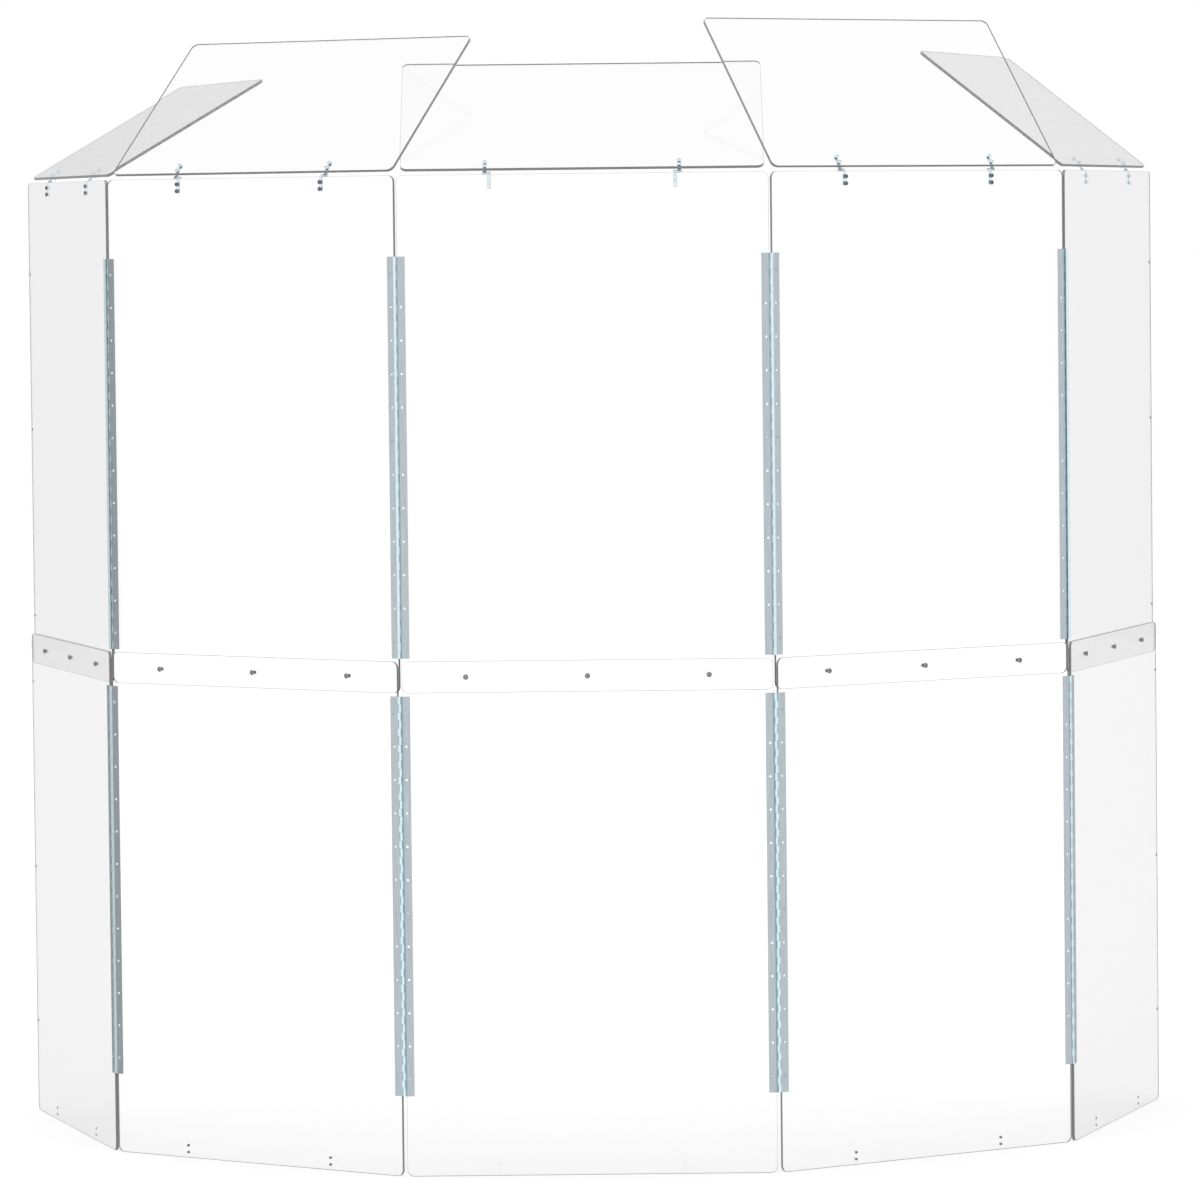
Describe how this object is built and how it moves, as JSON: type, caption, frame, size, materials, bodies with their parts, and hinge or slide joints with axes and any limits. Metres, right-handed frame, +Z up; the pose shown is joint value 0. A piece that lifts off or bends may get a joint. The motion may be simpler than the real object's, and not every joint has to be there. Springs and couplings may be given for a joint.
{
  "type": "drum shield",
  "caption": "Folding clear drum shield: hinged acrylic panels of bolted upper and lower sheets, with tilting sound deflectors on strap hinges along the top.",
  "frame": {"origin": "middle of the centre panel's bottom edge, on the floor", "axes": "+Z up, +X to the right seen from the listeners' side, +Y from the front of the shield into the drummer's space"},
  "size_m": [1.9968, 1.0299, 1.9053],
  "materials": {
    "clear_panel_sheet": "clear cast acrylic, polished faces, sawn and scraped edges",
    "clear_deflector_sheet": "clear cast acrylic, polished faces, sawn and scraped edges",
    "fold_hinge_steel": "bright zinc-plated steel strip",
    "strap_hinge_steel": "bright zinc-plated steel",
    "bolt_steel": "zinc-plated steel"
  },
  "bodies": {
    "centre_panel": {"centre_upper_sheet": "clear_panel_sheet", "centre_lower_sheet": "clear_panel_sheet", "centre_deflector_left_pin_strap": "strap_hinge_steel", "centre_deflector_right_pin_strap": "strap_hinge_steel", "centre_overlap_bolt_left": "bolt_steel", "centre_overlap_bolt_middle": "bolt_steel", "centre_overlap_bolt_right": "bolt_steel", "left_inner_upper_hinge_pin_leaf": "fold_hinge_steel", "left_inner_lower_hinge_pin_leaf": "fold_hinge_steel", "right_inner_upper_hinge_pin_leaf": "fold_hinge_steel", "right_inner_lower_hinge_pin_leaf": "fold_hinge_steel"},
    "left_mid_panel": {"left_mid_upper_sheet": "clear_panel_sheet", "left_mid_lower_sheet": "clear_panel_sheet", "left_mid_deflector_left_pin_strap": "strap_hinge_steel", "left_mid_deflector_right_pin_strap": "strap_hinge_steel", "left_mid_overlap_bolt_left": "bolt_steel", "left_mid_overlap_bolt_middle": "bolt_steel", "left_mid_overlap_bolt_right": "bolt_steel", "left_inner_upper_hinge_free_leaf": "fold_hinge_steel", "left_outer_upper_hinge_pin_leaf": "fold_hinge_steel", "left_inner_lower_hinge_free_leaf": "fold_hinge_steel", "left_outer_lower_hinge_pin_leaf": "fold_hinge_steel"},
    "left_wing_panel": {"left_wing_upper_sheet": "clear_panel_sheet", "left_wing_lower_sheet": "clear_panel_sheet", "left_wing_deflector_left_pin_strap": "strap_hinge_steel", "left_wing_deflector_right_pin_strap": "strap_hinge_steel", "left_outer_upper_hinge_free_leaf": "fold_hinge_steel", "left_outer_lower_hinge_free_leaf": "fold_hinge_steel"},
    "right_mid_panel": {"right_mid_upper_sheet": "clear_panel_sheet", "right_mid_lower_sheet": "clear_panel_sheet", "right_mid_deflector_left_pin_strap": "strap_hinge_steel", "right_mid_deflector_right_pin_strap": "strap_hinge_steel", "right_mid_overlap_bolt_left": "bolt_steel", "right_mid_overlap_bolt_middle": "bolt_steel", "right_mid_overlap_bolt_right": "bolt_steel", "right_inner_upper_hinge_free_leaf": "fold_hinge_steel", "right_outer_upper_hinge_pin_leaf": "fold_hinge_steel", "right_inner_lower_hinge_free_leaf": "fold_hinge_steel", "right_outer_lower_hinge_pin_leaf": "fold_hinge_steel"},
    "right_wing_panel": {"right_wing_upper_sheet": "clear_panel_sheet", "right_wing_lower_sheet": "clear_panel_sheet", "right_wing_deflector_left_pin_strap": "strap_hinge_steel", "right_wing_deflector_right_pin_strap": "strap_hinge_steel", "right_outer_upper_hinge_free_leaf": "fold_hinge_steel", "right_outer_lower_hinge_free_leaf": "fold_hinge_steel"},
    "left_wing_deflector": {"left_wing_deflector_sheet": "clear_deflector_sheet", "left_wing_deflector_left_free_strap": "strap_hinge_steel", "left_wing_deflector_right_free_strap": "strap_hinge_steel"},
    "left_mid_deflector": {"left_mid_deflector_sheet": "clear_deflector_sheet", "left_mid_deflector_left_free_strap": "strap_hinge_steel", "left_mid_deflector_right_free_strap": "strap_hinge_steel"},
    "centre_deflector": {"centre_deflector_sheet": "clear_deflector_sheet", "centre_deflector_left_free_strap": "strap_hinge_steel", "centre_deflector_right_free_strap": "strap_hinge_steel"},
    "right_mid_deflector": {"right_mid_deflector_sheet": "clear_deflector_sheet", "right_mid_deflector_left_free_strap": "strap_hinge_steel", "right_mid_deflector_right_free_strap": "strap_hinge_steel"},
    "right_wing_deflector": {"right_wing_deflector_sheet": "clear_deflector_sheet", "right_wing_deflector_left_free_strap": "strap_hinge_steel", "right_wing_deflector_right_free_strap": "strap_hinge_steel"}
  },
  "joints": [
    {"name": "left_inner_fold", "type": "hinge", "parent": "centre_panel", "child": "left_mid_panel", "pos_m": [-0.309, -0.00075, 0], "axis": [0, 0, 1], "range_deg": [-7, 91]},
    {"name": "left_outer_fold", "type": "hinge", "parent": "left_mid_panel", "child": "left_wing_panel", "pos_m": [-0.80897, 0.3625, 0], "axis": [0, 0, 1], "range_deg": [-12, 92]},
    {"name": "right_inner_fold", "type": "hinge", "parent": "centre_panel", "child": "right_mid_panel", "pos_m": [0.309, -0.00075, 0], "axis": [0, 0, -1], "range_deg": [-8, 90]},
    {"name": "right_outer_fold", "type": "hinge", "parent": "right_mid_panel", "child": "right_wing_panel", "pos_m": [0.81524, 0.35372, 0], "axis": [0, 0, -1], "range_deg": [-12, 92]},
    {"name": "left_wing_deflector_tilt", "type": "hinge", "parent": "left_wing_panel", "child": "left_wing_deflector", "pos_m": [-0.88865, 0.66126, 1.6495], "axis": [0.2924, -0.9563, 0], "range_deg": [-120, 5]},
    {"name": "left_mid_deflector_tilt", "type": "hinge", "parent": "left_mid_panel", "child": "left_mid_deflector", "pos_m": [-0.55243, 0.1899, 1.6495], "axis": [0.809, -0.5878, 0], "range_deg": [-2, 75]},
    {"name": "centre_deflector_tilt", "type": "hinge", "parent": "centre_panel", "child": "centre_deflector", "pos_m": [0, 0.0104, 1.6495], "axis": [1, 0, 0], "range_deg": [-124, 2]},
    {"name": "right_mid_deflector_tilt", "type": "hinge", "parent": "right_mid_panel", "child": "right_mid_deflector", "pos_m": [0.55572, 0.18562, 1.6495], "axis": [0.8192, 0.5736, 0], "range_deg": [-5, 68]},
    {"name": "right_wing_deflector_tilt", "type": "hinge", "parent": "right_wing_panel", "child": "right_wing_deflector", "pos_m": [0.90012, 0.65104, 1.6495], "axis": [0.309, 0.9511, 0], "range_deg": [-128, 5]}
  ]
}
